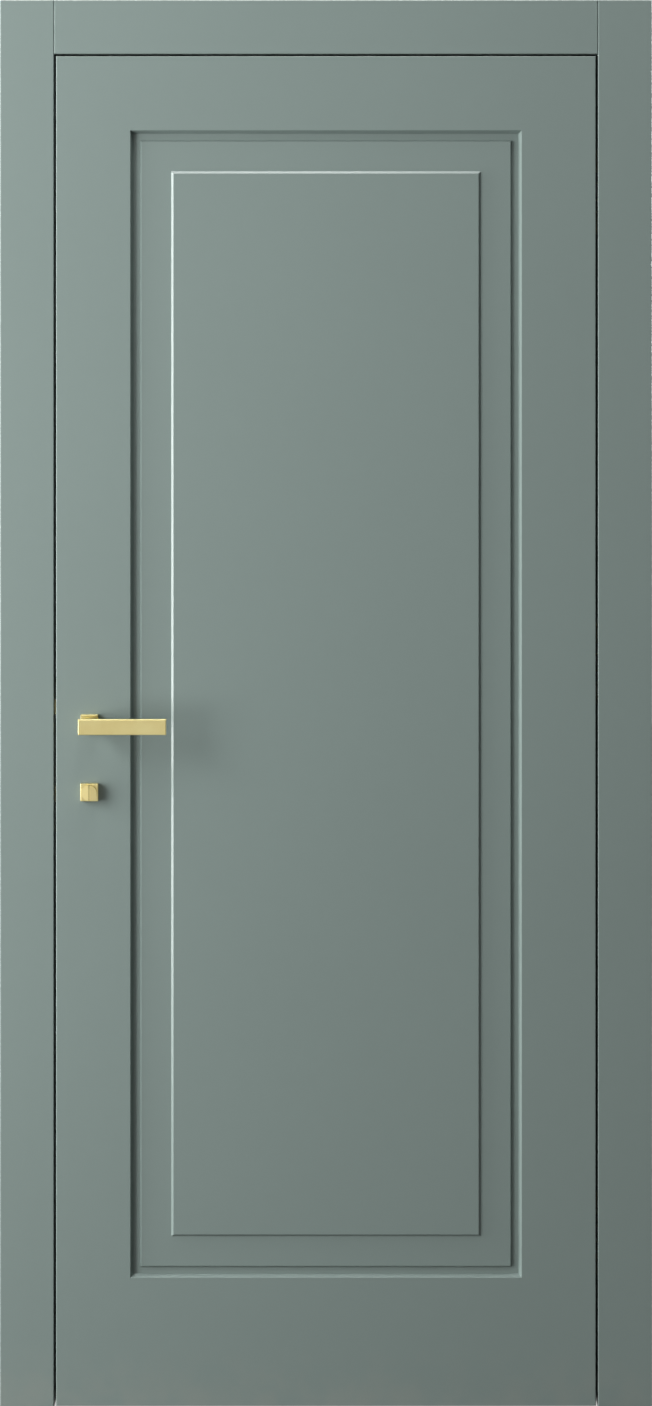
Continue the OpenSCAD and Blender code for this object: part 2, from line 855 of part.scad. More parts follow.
module head_jamb() {
    c = stop_chamfer;
    placed(paint)
        difference() {
            union() {
                translate([-rebate_x, casing_t, rebate_z])
                    cube([2 * rebate_x, stop_y - casing_t, jamb_t]);
                rotate([0, -90, 0])
                    linear_extrude(height = 2 * stop_x, center = true)
                        polygon([
                            [jamb_z, stop_y], [jamb_z, jamb_y], [stop_z + c, jamb_y],
                            [stop_z, jamb_y - c], [stop_z, stop_y + c], [stop_z + c, stop_y]
                        ]);
            }
            translate([0, stop_y, seal_z])
                rotate([0, -90, 0])
                    linear_extrude(height = 2 * stop_x + 2, center = true)
                        root_groove();
            translate([0, jamb_y, tongue_z])
                rotate([0, -90, 0])
                    linear_extrude(height = 2 * stop_x + 2, center = true)
                        tongue_groove();
            for (s = [0, 1])
                mirror([s, 0, 0])
                    corner_places()
                        screw_hole(corner_d, corner_head, corner_l);
        }
}

module front_lock_casing() {
    placed(paint)
        on_lock_side()
            front_casing();
}

module front_hinge_casing() {
    placed(paint)
        front_casing();
}

module front_head_casing() {
    placed(paint)
        translate([0, 0, rebate_z])
            soft_block(2 * rebate_x, casing_t, casing_w, edge_r, false, 0);
}

module back_lock_casing() {
    placed(paint)
        on_lock_side()
            back_casing();
}

module back_hinge_casing() {
    placed(paint)
        back_casing();
}

module back_head_casing() {
    placed(paint) {
        translate([0, frame_y, back_z])
            mirror([0, 1, 0])
                soft_block(2 * back_x, casing_t, casing_w, edge_r, false, 0);
        translate([-stop_x + tongue_fit, jamb_y - tongue_l, tongue_z - tongue_t / 2])
            cube([2 * stop_x - 2 * tongue_fit, tongue_l + casing_t / 2, tongue_t]);
    }
}

// A seal beside the leaf, on the hinge side
module side_seal() {
    translate([seal_x, stop_y, 0])
        linear_extrude(height = seal_z + seal_r)
            seal_section();
}

module lock_seal() {
    placed(black)
        on_lock_side()
            side_seal();
}

module hinge_seal() {
    placed(black)
        side_seal();
}

module head_seal() {
    placed(black)
        translate([0, stop_y, seal_z])
            rotate([0, -90, 0])
                linear_extrude(height = 2 * stop_x - 2 * seal_clear, center = true)
                    seal_section();
}

module strike_plate() {
    placed(brass)
        difference() {
            translate([-rebate_x, lock_y, (forend_z0 + forend_z1) / 2])
                mirror([1, 0, 0])
                    round_plate(forend_w, forend_z1 - forend_z0, forend_t);
            for (r = strike_rooms)
                translate([-rebate_x - forend_t - 1, room_y0 - box_wall / 4, r[0] - strike_play])
                    cube([forend_t + 2, room_y1 - room_y0 + box_wall / 2, r[1] - r[0] + 2 * strike_play]);
            strike_screw_places()
                screw_hole(wood_d, wood_head, wood_l);
        }
}

module strike_box() {
    placed(black)
        difference() {
            translate([-rebate_x - forend_t - box_d, case_y0, box_z0])
                cube([box_d, case_t, box_z1 - box_z0]);
            translate([-rebate_x - forend_t - box_d + box_wall, case_y0 + box_wall, box_z0 + box_wall])
                cube([box_d, case_t - 2 * box_wall, box_z1 - box_z0 - 2 * box_wall]);
        }
}

module strike_screws() {
    placed(brass)
        strike_screw_places()
            screw(wood_d, wood_head, wood_l);
}

module corner_screws() {
    placed(steel)
        for (s = [0, 1])
            mirror([s, 0, 0])
                corner_places()
                    screw(corner_d, corner_head, corner_l);
}

module frame_hinge_bottom() {
    placed(brass)
        frame_hinge(0);
}

module frame_hinge_middle() {
    placed(brass)
        frame_hinge(1);
}

module frame_hinge_top() {
    placed(brass)
        frame_hinge(2);
}

module frame_hinge_pins() {
    placed(steel)
        for (z = hinge_zs, s = [-1, 1])
            translate([axis_x + pivot_out, pivot_y, z + (s < 0 ? -frame_pin_z1 : frame_pin_z0)])
                cylinder(d = pin_d, h = frame_pin_z1 - frame_pin_z0);
}

module frame_hinge_screws() {
    placed(brass)
        frame_hinge_places()
            hinge_screw_places()
                screw(wood_d, wood_head, wood_l);
}

module frame_hinge_arms() {
    placed(steel)
        for (z = hinge_zs, s = [-1, 1])
            translate([axis_x + pivot_out, pivot_y, z + (s < 0 ? -side_arm_z - frame_arm_h : side_arm_z)])
                hinge_arm(frame_arm_h);
}

module leaf_hinge_arms() {
    placed(steel)
        for (z = hinge_zs)
            translate([axis_x - pivot_out, pivot_y, z - leaf_arm_h / 2])
                mirror([1, 0, 0])
                    hinge_arm(leaf_arm_h);
}

module door_leaf() {
    placed(paint)
        difference() {
            translate([0, 0, leaf_z0])
                soft_block(leaf_w, leaf_t, leaf_h, edge_r, true, 0);
            panel_recess();
            on_back()
                panel_recess();
            leaf_hinge_places()
                hinge_mortise();
            lock_mortise();
            for (k = [0, 1])
                mirror([0, k, 0])
                    translate([0, -k * leaf_t, 0]) {
                        at_lever()
                            rose_screw_places()
                                screw_hole(small_d, small_head, rose_screw_l);
                        at_turn()
                            rose_screw_places()
                                screw_hole(small_d, small_head, rose_screw_l);
                    }
            at_lever()
                along_y(leaf_bore, -1, leaf_t + 1);
            at_turn()
                along_y(leaf_bore, -1, leaf_t + 1);
        }
}

// The lock's mortise in the leaf's edge
module lock_mortise() {
    translate([-leaf_x, lock_y, (forend_z0 + forend_z1) / 2]) {
        round_plate(forend_w + 2 * forend_fit, forend_z1 - forend_z0 + 2 * forend_fit, forend_t);
        translate([-1, 0, 0])
            round_plate(forend_w + 2 * forend_fit, forend_z1 - forend_z0 + 2 * forend_fit, 2);
    }
    translate([case_x0 - 1, case_y0 - case_fit, case_z0 - case_fit])
        cube([case_x1 - case_x0 + 1 + case_fit, case_t + 2 * case_fit, case_z1 - case_z0 + 2 * case_fit]);
    forend_screw_places()
        screw_hole(wood_d, wood_head, wood_l);
}

module forend_screw_places() {
    for (z = forend_screws_z)
        translate([-leaf_x, lock_y, z])
            rotate([0, -90, 0])
                children();
}

module leaf_hinge_bottom() {
    placed(brass)
        leaf_hinge(0);
}

module leaf_hinge_middle() {
    placed(brass)
        leaf_hinge(1);
}

module leaf_hinge_top() {
    placed(brass)
        leaf_hinge(2);
}

module leaf_hinge_pins() {
    placed(steel)
        for (z = hinge_zs)
            translate([axis_x - pivot_out, pivot_y, z - leaf_pin_z1])
                cylinder(d = pin_d, h = 2 * leaf_pin_z1);
}

module leaf_hinge_screws() {
    placed(brass)
        leaf_hinge_places()
            hinge_screw_places()
                screw(wood_d, wood_head, wood_l);
}

// Openings for latch and bolt through the front of the lock
module slide_rooms() {
    for (r = strike_rooms)
        translate([-leaf_x - 1, room_y0, r[0] - slide_fit])
            cube([forend_t + case_wall + 2, room_y1 - room_y0, r[1] - r[0] + 2 * slide_fit]);
}

module lock_case() {
    placed(steel)
        difference() {
            union() {
                difference() {
                    translate([case_x0, case_y0, case_z0])
                        cube([case_x1 - case_x0, case_t - case_wall, case_z1 - case_z0]);
                    translate([case_x0 + case_wall, room_y0, case_z0 + case_wall])
                        cube([case_x1 - case_x0 - 2 * case_wall, case_t, case_z1 - case_z0 - 2 * case_wall]);
                }
                for (p = posts)
                    translate([p[0], 0, p[1]])
                        along_y(post_d, case_y0, room_y1);
                translate([lug_x, case_y0, tail_z - finger_w])
                    cube([lug_t, room_y1 - case_y0, tail_h + 2 * finger_w]);
            }
            slide_rooms();
            translate([lug_x - 1, tail_y - tail_t / 2 - slide_fit, tail_z - slide_fit])
                cube([lug_t + 2, tail_t + 2 * slide_fit, tail_h + 2 * slide_fit]);
            at_lever()
                along_y(2 * follower_bearing + 2 * bearing_fit, case_y0 - 1, room_y0 + 1);
            at_turn()
                along_y(2 * crank_hub + 2 * bearing_fit, case_y0 - 1, room_y0 + 1);
            cover_screw_places()
                screw_hole(small_d, small_head, cover_screw_l);
        }
}

module cover_screw_places() {
    for (p = posts)
        translate([p[0], case_y1, p[1]])
            rotate([-90, 0, 0])
                children();
}

module lock_cover() {
    placed(steel)
        difference() {
            translate([case_x0, room_y1, case_z0])
                cube([case_x1 - case_x0, case_wall, case_z1 - case_z0]);
            at_lever()
                along_y(2 * follower_bearing + 2 * bearing_fit, room_y1 - 1, case_y1 + 1);
            at_turn()
                along_y(2 * crank_hub + 2 * bearing_fit, room_y1 - 1, case_y1 + 1);
            cover_screw_places()
                screw_hole(small_d, small_head, cover_screw_l);
        }
}

module lock_cover_screws() {
    placed(steel)
        cover_screw_places()
            screw(small_d, small_head, cover_screw_l);
}

module lock_forend() {
    placed(brass)
        difference() {
            translate([-leaf_x, lock_y, (forend_z0 + forend_z1) / 2])
                round_plate(forend_w, forend_z1 - forend_z0, forend_t);
            slide_rooms();
            forend_screw_places()
                screw_hole(wood_d, wood_head, wood_l);
        }
}

module forend_screws() {
    placed(brass)
        forend_screw_places()
            screw(wood_d, wood_head, wood_l);
}

module front_lever_base() {
    placed(steel)
        at_lever()
            rose_base();
}

module front_lever_rose() {
    placed(brass)
        at_lever()
            rose_cover();
}

module back_lever_base() {
    placed(steel)
        on_back()
            at_lever()
                rose_base();
}

module back_lever_rose() {
    placed(brass)
        on_back()
            at_lever()
                rose_cover();
}

module front_turn_base() {
    placed(steel)
        at_turn()
            rose_base();
}

module front_turn_rose() {
    placed(brass)
        at_turn()
            rose_cover();
}

module back_turn_base() {
    placed(steel)
        on_back()
            at_turn()
                rose_base();
}

module back_turn_rose() {
    placed(brass)
        on_back()
            at_turn()
                rose_cover();
}

module rose_screws() {
    placed(steel)
        for (k = [0, 1])
            mirror([0, k, 0])
                translate([0, -k * leaf_t, 0]) {
                    at_lever()
                        rose_screw_places()
                            screw(small_d, small_head, rose_screw_l);
                    at_turn()
                        rose_screw_places()
                            screw(small_d, small_head, rose_screw_l);
                }
}

module front_lever() {
    placed(brass)
        at_lever()
            lever();
}

module back_lever() {
    placed(brass)
        on_back()
            at_lever()
                lever();
}

module lever_spindle() {
    placed(steel)
        at_lever()
            square_y(spindle_w, -spindle_in, leaf_t + spindle_in);
}

module lever_grub_screws() {
    placed(steel) {
        at_lever()
            grub();
        on_back()
            at_lever()
                grub();
    }
}

module latch_follower() {
    edge = slide_fit;
    placed(steel)
        at_lever()
            difference() {
                union() {
                    along_y(2 * follower_r, slide_y0, slide_y1);
                    along_y(2 * follower_bearing, case_y0, case_y1);
                    translate([-finger_w / 2, slide_y0 + edge, -heel_r])
                        cube([finger_w, slide_y1 - slide_y0 - 2 * edge, heel_r + finger_r]);
                }
                square_y(spindle_w + 2 * spindle_fit, case_y0 - 1, case_y1 + 1);
            }
}

module follower_spring() {
    x0 = case_x0 + case_wall + spring_clear;
    x1 = lock_x - finger_w / 2 - spring_clear;
    placed(steel)
        translate([x0, lock_y, heel_z])
            rotate([0, 90, 0])
                coil(follower_coil, wire_d, x1 - x0, 8);
}

module latch_bolt() {
    placed(brass) {
        translate([0, 0, latch_z - latch_h / 2])
            linear_extrude(height = latch_h)
                polygon([
                    [-leaf_x - latch_out, slide_y0], [-leaf_x - latch_out, slide_y0 + latch_flat],
                    [-leaf_x - latch_flat / 2, slide_y1], [latch_rear, slide_y1], [latch_rear, slide_y0]
                ]);
        translate([latch_rear - 1, tail_y - tail_t / 2, tail_z])
            cube([hook_x + hook_l - latch_rear + 1, tail_t, tail_h]);
        translate([hook_x, slide_y0 + slide_fit, hook_z])
            cube([hook_l, slide_y1 - slide_y0 - 2 * slide_fit, tail_z + tail_h - hook_z]);
    }
}

module latch_spring() {
    x0 = latch_rear + spring_clear;
    x1 = lug_x - spring_clear;
    placed(steel)
        translate([x0, tail_y, tail_z + tail_h / 2])
            rotate([0, 90, 0])
                coil(latch_coil, wire_d, x1 - x0, 6);
}

module thumb_turn() {
    face = -rose_t - slide_fit - knob_t;
    placed(brass)
        at_turn()
            difference() {
                union() {
                    along_y(neck_d, -rose_t - slide_fit - 1, -neck_clear);
                    along_y(knob_d, face, -rose_t - slide_fit);
                }
                square_y(turn_w + 2 * spindle_fit, -turn_in - spindle_fit, 0);
                translate([0, face, -knob_d])
                    rotate([0, 0, 90 - atan2(knob_fall, knob_d / 2) + 90])
                        cube([knob_d, knob_d, 2 * knob_d]);
                translate([0, face, 0])
                    rotate([0, 0, 45])
                        cube([knob_line / sqrt(2), knob_line / sqrt(2), 2 * knob_d], center = true);
            }
}

module emergency_release() {
    face = -rose_t - slide_fit - release_t;
    placed(brass)
        on_back()
            at_turn()
                difference() {
                    union() {
                        along_y(neck_d, -rose_t - slide_fit - 1, -neck_clear);
                        along_y(release_d, face, -rose_t - slide_fit);
                    }
                    square_y(turn_w + 2 * spindle_fit, -turn_in - spindle_fit, 0);
                    translate([-release_slot / 2, face - 1, -release_d])
                        cube([release_slot, slot_d + 1, 2 * release_d]);
                }
}

module turn_spindle() {
    placed(steel)
        at_turn()
            square_y(turn_w, -turn_in, leaf_t + turn_in);
}

module bolt_follower() {
    disc = crank_r + crank_pin / 2 + crank_rim;
    placed(steel)
        at_turn()
            difference() {
                union() {
                    along_y(2 * crank_hub, case_y0, case_y1);
                    along_y(2 * disc, tail_y1, slide_y1);
                    translate([pin_place, 0, -pin_place])
                        along_y(crank_pin, slide_y0, tail_y1 + 1);
                }
                square_y(turn_w + 2 * spindle_fit, case_y0 - 1, case_y1 + 1);
            }
}

module privacy_bolt() {
    tail_x1 = slot_x + slot_w / 2 + slot_rim;
    placed(brass)
        difference() {
            union() {
                translate([bolt_x, slide_y0, bolt_z0])
                    cube([bolt_l, slide_y1 - slide_y0, bolt_h]);
                translate([bolt_x, slide_y0, bolt_z0])
                    cube([tail_x1 - bolt_x, tail_t, bolt_z1 - bolt_z0]);
            }
            translate([slot_x - slot_w / 2, slide_y0 - 1, slot_z])
                cube([slot_w, tail_t + 2, bolt_h]);
        }
}

lock_jamb();
hinge_jamb();
head_jamb();
front_lock_casing();
front_hinge_casing();
front_head_casing();
back_lock_casing();
back_hinge_casing();
back_head_casing();
lock_seal();
hinge_seal();
head_seal();
strike_plate();
strike_box();
strike_screws();
corner_screws();
frame_hinge_top();
frame_hinge_middle();
frame_hinge_bottom();
frame_hinge_pins();
frame_hinge_screws();
frame_hinge_arms();
leaf_hinge_arms();
door_leaf();
leaf_hinge_top();
leaf_hinge_middle();
leaf_hinge_bottom();
leaf_hinge_pins();
leaf_hinge_screws();
lock_case();
lock_cover();
lock_cover_screws();
lock_forend();
forend_screws();
front_lever_base();
front_lever_rose();
back_lever_base();
back_lever_rose();
front_turn_base();
front_turn_rose();
back_turn_base();
back_turn_rose();
rose_screws();
front_lever();
back_lever();
lever_spindle();
lever_grub_screws();
latch_follower();
follower_spring();
latch_bolt();
latch_spring();
thumb_turn();
emergency_release();
turn_spindle();
bolt_follower();
privacy_bolt();
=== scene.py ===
# %% [markdown]
# # An interior door with its frame
# A painted leaf with a stepped panel hangs in a frame whose casings lie in one plane with it.
# A brass lever and a brass thumb turn stand on the left stile, and concealed hinges hide in the
# right edge. The solids come from CAD and are right as they are, so most of the work here is
# their finish: satin paint, brushed brass, zinc-plated steel and black rubber. Only the screws
# and the springs are modelled again, because a thread and a round wire follow a rule.

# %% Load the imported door
import json
import math

import bpy
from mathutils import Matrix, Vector


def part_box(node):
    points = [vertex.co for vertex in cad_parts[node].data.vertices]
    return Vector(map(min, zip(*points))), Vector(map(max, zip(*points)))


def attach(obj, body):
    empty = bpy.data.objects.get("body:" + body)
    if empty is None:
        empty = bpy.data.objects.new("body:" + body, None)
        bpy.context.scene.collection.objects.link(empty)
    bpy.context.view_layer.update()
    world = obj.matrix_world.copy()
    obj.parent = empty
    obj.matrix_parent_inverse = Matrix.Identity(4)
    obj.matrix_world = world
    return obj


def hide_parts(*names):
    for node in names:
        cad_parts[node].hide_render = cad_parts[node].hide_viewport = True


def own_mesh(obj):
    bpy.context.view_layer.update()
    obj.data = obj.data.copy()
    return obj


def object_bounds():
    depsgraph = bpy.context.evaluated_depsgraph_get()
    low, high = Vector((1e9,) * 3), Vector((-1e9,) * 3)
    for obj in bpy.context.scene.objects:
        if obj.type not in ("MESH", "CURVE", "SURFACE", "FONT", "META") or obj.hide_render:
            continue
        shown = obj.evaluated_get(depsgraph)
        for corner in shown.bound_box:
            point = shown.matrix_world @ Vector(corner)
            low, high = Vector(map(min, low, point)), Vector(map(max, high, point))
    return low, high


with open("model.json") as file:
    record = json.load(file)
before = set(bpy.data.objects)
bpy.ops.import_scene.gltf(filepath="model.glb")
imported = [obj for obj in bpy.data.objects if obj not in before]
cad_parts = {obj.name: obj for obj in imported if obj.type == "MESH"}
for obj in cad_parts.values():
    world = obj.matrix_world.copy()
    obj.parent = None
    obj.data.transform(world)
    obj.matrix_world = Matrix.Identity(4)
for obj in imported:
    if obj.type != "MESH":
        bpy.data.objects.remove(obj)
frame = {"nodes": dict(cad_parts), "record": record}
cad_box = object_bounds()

nodes = frame["nodes"]
for low, high, axis in zip(*cad_box, "XYZ"):
    print(f"CAD box along {axis}: {low:.4f} to {high:.4f} m")


# %% [markdown]
# ## Sums with sockets
# A shader or a geometry tree is a net of small nodes. Wiring each sum by hand hides what it says,
# so a wire here is a Python object: `1 - mask` or `rough + 0.1 * lines` adds the Math nodes itself.
# Everything that isn't a sum comes from one method that takes a node's type, settings and inputs.

# %% Wires and graphs
class Wire:
    """One output socket. A sum with it adds Math nodes to the same graph."""

    def __init__(self, graph, socket):
        self.graph = graph
        self.socket = socket

    def maths(self, operation, *terms):
        return self.graph.node("ShaderNodeMath", {"operation": operation}, dict(enumerate(terms)))

    def __add__(self, other):
        return self.maths("ADD", self, other)

    def __sub__(self, other):
        return self.maths("SUBTRACT", self, other)

    def __rsub__(self, other):
        return self.maths("SUBTRACT", other, self)

    def __mul__(self, other):
        return self.maths("MULTIPLY", self, other)

    def __truediv__(self, other):
        return self.maths("DIVIDE", self, other)

    def __abs__(self):
        return self.maths("ABSOLUTE", self)

    __radd__ = __add__
    __rmul__ = __mul__

    def ease(self, low, high):
        """0 up to low, 1 from high on, and a smooth step between; low may be the larger one."""
        settings = {"interpolation_type": "SMOOTHSTEP"}
        inputs = {"Value": self, "From Min": low, "From Max": high}
        return self.graph.node("ShaderNodeMapRange", settings, inputs)


class Graph:
    """A node tree under construction."""

    def __init__(self, tree):
        self.tree = tree

    def node(self, kind, settings=None, inputs=None, output=0):
        made = self.tree.nodes.new(kind)
        for name, value in (settings or {}).items():
            setattr(made, name, value)
        for key, value in (inputs or {}).items():
            for one in value if isinstance(value, list) else [value]:
                if isinstance(one, Wire):
                    self.tree.links.new(one.socket, made.inputs[key])
                else:
                    made.inputs[key].default_value = one
        return Wire(self, made.outputs[output])


# %% [markdown]
# ## A finish
# Every material starts from the piece's own Object coordinates, which are metres here, so a noise
# of 400 cycles has grains of about 2.5 mm on the leaf and on the lever alike. What is the same all
# over a surface is set on the shader itself, and only what varies comes through a wire.

# %% The base of every finish
def srgb(red, green, blue):
    """A colour as it is read off a screen, 0 to 255, as the linear colour that a shader takes."""
    parts = [c / 255 for c in (red, green, blue)]
    return tuple(c / 12.92 if c <= 0.04045 else ((c + 0.055) / 1.055) ** 2.4 for c in parts) + (1.0,)


def shade(colour, factor):
    return tuple(c * factor for c in colour[:3]) + (1.0,)


class Finish(Graph):
    """A material with one Principled shader."""

    def __init__(self, name, **constants):
        self.material = bpy.data.materials.new(name)
        self.material.use_nodes = True
        super().__init__(self.material.node_tree)
        self.shader = self.tree.nodes["Principled BSDF"]
        for label, value in constants.items():
            self.shader.inputs[label.replace("_", " ")].default_value = value
        self.place = self.node("ShaderNodeTexCoord", output="Object")

    def stretched(self, cycles):
        """Object coordinates times a number of cycles per metre along each axis."""
        return self.node("ShaderNodeVectorMath", {"operation": "MULTIPLY"}, {0: self.place, 1: cycles})

    def noise(self, cycles, detail=2.0, roughness=0.5):
        """Soft noise from 0 to 1; cycles is one number, or three for a stretched grain."""
        if isinstance(cycles, tuple):
            inputs = {"Vector": self.stretched(cycles), "Scale": 1.0}
        else:
            inputs = {"Vector": self.place, "Scale": cycles}
        inputs.update({"Detail": detail, "Roughness": roughness})
        return self.node("ShaderNodeTexNoise", {}, inputs)

    def axes(self):
        """The three coordinates as wires."""
        split = self.node("ShaderNodeSeparateXYZ", {}, {0: self.place}).socket.node
        return [Wire(self, socket) for socket in split.outputs]

    def mix(self, factor, first, second):
        return self.node("ShaderNodeMix", {"data_type": "RGBA"}, {0: factor, 6: first, 7: second}, 2)

    def bump(self, height, depth, strength=1.0, below=None):
        inputs = {"Height": height, "Distance": depth, "Strength": strength}
        if below:
            inputs["Normal"] = below
        return self.node("ShaderNodeBump", {}, inputs)

    def feed(self, colour, rough, normal):
        for label, wire in (("Base Color", colour), ("Roughness", rough), ("Normal", normal)):
            self.tree.links.new(wire.socket, self.shader.inputs[label])
        print("finish", self.material.name, "with", len(self.tree.nodes), "nodes")
        return self.material


# %% [markdown]
# ## Satin paint
# Leaf, casings and jambs are sprayed in one grey green. Sprayed paint dries with a fine orange peel,
# a slow drift in tone and a satin gloss that is never quite even. Hands polish it round the lever,
# edges beside the gap are rubbed a little lighter, and the lowest centimetres hold some dust.
# All of it is read from the coordinates, so one finish covers the leaf and its frame without a break.

# %% Make the paint
PAINT = srgb(122, 136, 132)
PAINT_DUST = srgb(150, 148, 138)
LEVER_GRIP = (-0.29, -0.03, 1.015)
HAND_REACH, HAND_CLOSE = 0.16, 0.05
GAP_X = 0.4015
ARRIS_FAR, ARRIS_NEAR = 0.0045, 0.0018
DUST_TOP = 0.11
PEEL_DEPTH, FIBRE_DEPTH = 0.00012, 0.00015


def satin_paint():
    f = Finish("satin_paint")
    x, _, z = f.axes()
    drift = f.noise(2.2, 3.0)
    clouds = f.noise(38.0, 3.0)
    tone = f.mix(drift * 0.7 + clouds * 0.3, shade(PAINT, 0.955), shade(PAINT, 1.045))
    rubbed = abs(abs(x) - GAP_X).ease(ARRIS_FAR, ARRIS_NEAR) * f.noise(55.0, 4.0).ease(0.42, 0.7)
    tone = f.mix(rubbed * 0.1, tone, shade(PAINT, 1.5))
    dust = z.ease(DUST_TOP, 0.0) * f.noise(24.0, 4.0).ease(0.3, 0.75)
    tone = f.mix(dust * 0.22, tone, PAINT_DUST)
    ends = {0: f.place, 1: LEVER_GRIP}
    reach = f.node("ShaderNodeVectorMath", {"operation": "DISTANCE"}, ends, "Value")
    handled = reach.ease(HAND_REACH, HAND_CLOSE) * f.noise(60.0, 3.0).ease(0.35, 0.65)
    rough = 0.34 + 0.08 * (drift - 0.5) + 0.03 * (clouds - 0.5) - 0.03 * handled + 0.18 * dust
    peel = f.bump(f.noise(430.0, 2.0), PEEL_DEPTH, 0.2)
    fibres = f.noise((60.0, 60.0, 9.0), 4.0, 0.6)
    return f.feed(tone, rough, f.bump(fibres, FIBRE_DEPTH, 0.05, peel))


paint = satin_paint()


# %% [markdown]
# ## Brushed brass
# Lever, roses, thumb turn, plates and hinge bodies are satin brass. A belt leaves fine lines in one
# direction: along the lever, and up and down on the plates. The lines are noise that is stretched
# a hundredfold along the brushing. They roughen the metal and lift it a few thousandths of a
# millimetre, and slow clouds stand for the warm tarnish and for fingers. The bolts are darkened as
# painted shade, so they stay dark in the shaded gap, and a thin line of painted shade follows the
# ridge of the thumb turn's grip.

# %% Make the brass
BRASS_PALE = srgb(235, 221, 160)
BRASS_WARM = srgb(227, 209, 145)
ALONG = (18.0, 1900.0, 1900.0)
UPRIGHT = (1900.0, 1900.0, 18.0)
LINE_DEPTH = 0.000004
# darker tone of the bolts: painted shade, so they stay dark in the shaded gap between leaf and frame
BOLT_SHADE = 0.4
RIDGE_FAR, RIDGE_NEAR = 0.0016, 0.0005


def brushed_brass(name, cycles, tone=1.0, ridge=None):
    """Brass with lines of so many cycles; tone darkens it as painted shade, ridge is the x of a line
    of painted shade.
    """
    f = Finish(name, Metallic=1.0)
    lines = f.noise(cycles, 5.0, 0.65)
    clouds = f.noise(30.0, 4.0)
    fingers = f.noise(90.0, 3.0).ease(0.45, 0.75)
    colour = f.mix(clouds.ease(0.2, 0.8), shade(BRASS_PALE, tone), shade(BRASS_WARM, tone))
    colour = f.mix(lines.ease(0.58, 0.8) * 0.15, colour, shade(BRASS_WARM, 0.8 * tone))
    if ridge is not None:
        # a thin dark line of painted shade along the grip's ridge, where the grip shades its right
        # half
        ridge_shade = abs(f.axes()[0] - ridge).ease(RIDGE_FAR, RIDGE_NEAR)
        colour = f.mix(ridge_shade * 0.7, colour, shade(BRASS_WARM, 0.4))
    rough = 0.26 + 0.06 * lines + 0.03 * fingers
    return f.feed(colour, rough, f.bump(lines, LINE_DEPTH, 0.12))


turn_ridge = sum(corner[0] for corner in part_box("thumb_turn")) / 2
brass_along = brushed_brass("brass_brushed_along", ALONG)
brass_upright = brushed_brass("brass_brushed_upright", UPRIGHT)
# brass for the thumb turn, with a line of painted shade along its ridge
brass_turn = brushed_brass("brass_turn", ALONG, ridge=turn_ridge)
# brass for the bolts, darkened as painted shade for the shaded gap
brass_greased = brushed_brass("brass_greased", ALONG, tone=BOLT_SHADE)


# %% [markdown]
# ## Plated steel, rubber and plastic
# Lock case, followers, arms, pins and springs are zinc-plated steel: bluish, with faint crystals and
# wipe marks. The seals are extruded rubber, so their fine lines run along the strip and dust stays
# on them. The strike box behind its plate is moulded plastic with an even grain.

# %% Make the inner finishes
STEEL_PALE, STEEL_DARK, STEEL_WIPED = srgb(178, 183, 190), srgb(164, 169, 177), srgb(190, 186, 172)
RUBBER_BLACK, RUBBER_DUSTY = srgb(38, 39, 40), srgb(72, 72, 70)
PLASTIC_DARK, PLASTIC_PALE = srgb(40, 41, 43), srgb(52, 53, 55)
CRYSTAL_DEPTH, SEAL_DEPTH, GRAIN_DEPTH = 0.000008, 0.00005, 0.00004


def plated_steel():
    f = Finish("plated_steel", Metallic=1.0)
    crystals = f.noise(1100.0, 3.0, 0.7)
    wipes = f.noise((26.0, 140.0, 26.0), 4.0, 0.6)
    colour = f.mix(crystals.ease(0.25, 0.75), STEEL_PALE, STEEL_DARK)
    colour = f.mix(wipes.ease(0.5, 0.8) * 0.3, colour, STEEL_WIPED)
    rough = 0.3 + 0.16 * wipes + 0.05 * crystals
    return f.feed(colour, rough, f.bump(crystals, CRYSTAL_DEPTH, 0.2))


def extruded_rubber():
    f = Finish("extruded_rubber", Specular_IOR_Level=0.35)
    lines = f.noise((1400.0, 1400.0, 6.0), 3.0)
    dust = f.noise(90.0, 5.0).ease(0.5, 0.8)
    colour = f.mix(dust * 0.4, RUBBER_BLACK, RUBBER_DUSTY)
    rough = 0.62 + 0.14 * dust + 0.1 * lines
    return f.feed(colour, rough, f.bump(lines, SEAL_DEPTH, 0.5))


def moulded_plastic():
    f = Finish("moulded_plastic", Specular_IOR_Level=0.45)
    grain = f.noise(1500.0, 2.0)
    flow = f.noise(35.0, 3.0)
    colour = f.mix(flow, PLASTIC_DARK, PLASTIC_PALE)
    rough = 0.42 + 0.2 * grain
    return f.feed(colour, rough, f.bump(grain, GRAIN_DEPTH, 0.5))


steel = plated_steel()
rubber = extruded_rubber()
plastic = moulded_plastic()


# %% [markdown]
# ## Dress the CAD nodes
# A CAD solid whose shape is right keeps its mesh and only takes a better material. The rule that
# picks the finish is the record's own material slot. Brass is brushed upright unless a piece is
# named here with another brass.

# %% Hand out the finishes
slot_of = {part["node"]: part["material_slot"] for part in frame["record"]["subparts"]}
BY_SLOT = {
    "paint": paint, "brass": brass_upright, "steel": steel, "rubber": rubber, "plastic": plastic,
}
BRUSHED_ALONG = (
    "front_lever", "back_lever", "front_lever_rose", "back_lever_rose", "front_turn_rose",
    "back_turn_rose", "emergency_release",
)
BY_NAME = {
    **{name: brass_along for name in BRUSHED_ALONG},
    # latch and privacy bolt take the brass darkened as painted shade
    "thumb_turn": brass_turn, "latch_bolt": brass_greased, "privacy_bolt": brass_greased,
}


def dress(piece, material):
    if not piece.material_slots:
        piece.data.materials.append(material)
    for slot in piece.material_slots:
        slot.material = material


for name, piece in nodes.items():
    dress(piece, BY_NAME.get(name, BY_SLOT[slot_of[name]]))
print("dressed", len(nodes), "nodes")


# %% [markdown]
# ## Where the screws sit
# A node of screws holds several solids in one mesh. Triangles that share a corner belong to one
# screw, so the screws are found by joining corners into groups. Each group is long in one direction,
# and its wider end is the head.

# %% Find the solids of a node
WELD = 1e-6
END_DEPTH = 2e-4


